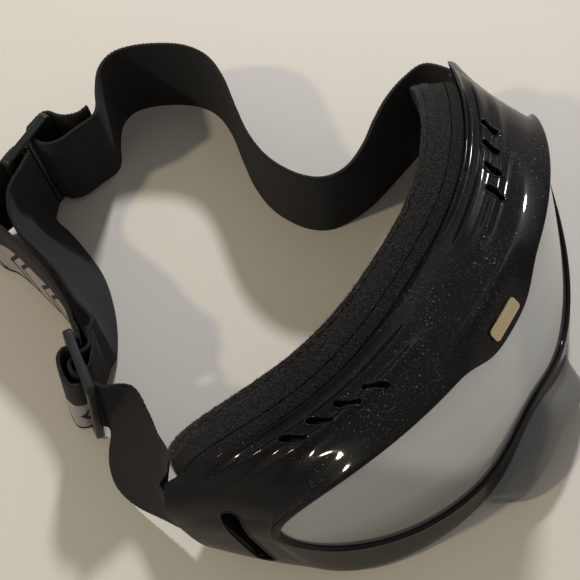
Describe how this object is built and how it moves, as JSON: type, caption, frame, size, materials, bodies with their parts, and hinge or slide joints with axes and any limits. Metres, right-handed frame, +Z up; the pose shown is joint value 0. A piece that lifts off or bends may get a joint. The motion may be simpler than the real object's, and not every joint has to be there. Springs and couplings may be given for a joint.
{
  "type": "ski goggles",
  "caption": "Snow goggles with a bent double lens in a glossy frame, layered face foam and a wide elastic head strap with two sliders",
  "frame": {"origin": "centre of the bounding box in plan, on the table surface that the goggles stand on", "axes": "+X is the wearer's left to right across the lens as seen from the front, +Y runs from the lens back along the strap, +Z is up from the table; the mask leans back by 17.6 degrees on the underside of its frame"},
  "size_m": [0.181, 0.2135, 0.0849],
  "materials": {
    "frame": "glossy black with fine silver flakes",
    "outer_lens": "silver mirror coating over a grey tint",
    "inner_lens": "clear anti-fog pane",
    "foam": "matt open-cell foam",
    "fleece": "short-pile fleece lining",
    "skirt": "satin soft plastic",
    "badge": "bare brushed champagne metal",
    "bar": "dark steel wire",
    "webbing": "ribbed elastic webbing, black",
    "slider": "moulded black plastic"
  },
  "bodies": {
    "mask": {"frame_shell": "frame", "outer_lens": "outer_lens", "inner_lens": "inner_lens", "lens_spacer": "foam", "nose_skirt": "skirt", "badge_plate": "badge", "face_foam_base": "foam", "face_foam_mid": "foam", "face_fleece": "fleece", "brow_vent_foam_left": "foam", "brow_vent_foam_right": "foam", "chin_vent_foam_left": "foam", "chin_vent_foam_right": "foam", "strap_bar_left": "bar", "strap_bar_right": "bar", "strap_far": "webbing", "strap_near": "webbing", "strap_outer_layer": "webbing", "strap_inner_layer": "webbing"},
    "adjuster": {"slider_b": "slider", "strap_hump": "webbing"},
    "joiner": {"slider_a": "slider"}
  },
  "joints": [
    {"name": "adjuster_slide", "type": "slide", "parent": "mask", "child": "adjuster", "axis": [0.5505, 0.8348, 0], "range_m": [-0.01, 0.01], "deforming": ["strap_near", "strap_outer_layer", "strap_inner_layer"]},
    {"name": "joiner_shift", "type": "slide", "parent": "mask", "child": "joiner", "axis": [1, 0, 0], "range_m": [-0.005, 0.005], "deforming": ["strap_far", "strap_outer_layer", "strap_inner_layer"]}
  ],
  "couplings": [
    {"joint": "joiner_shift", "follows": "adjuster_slide", "ratio": 0.5}
  ]
}
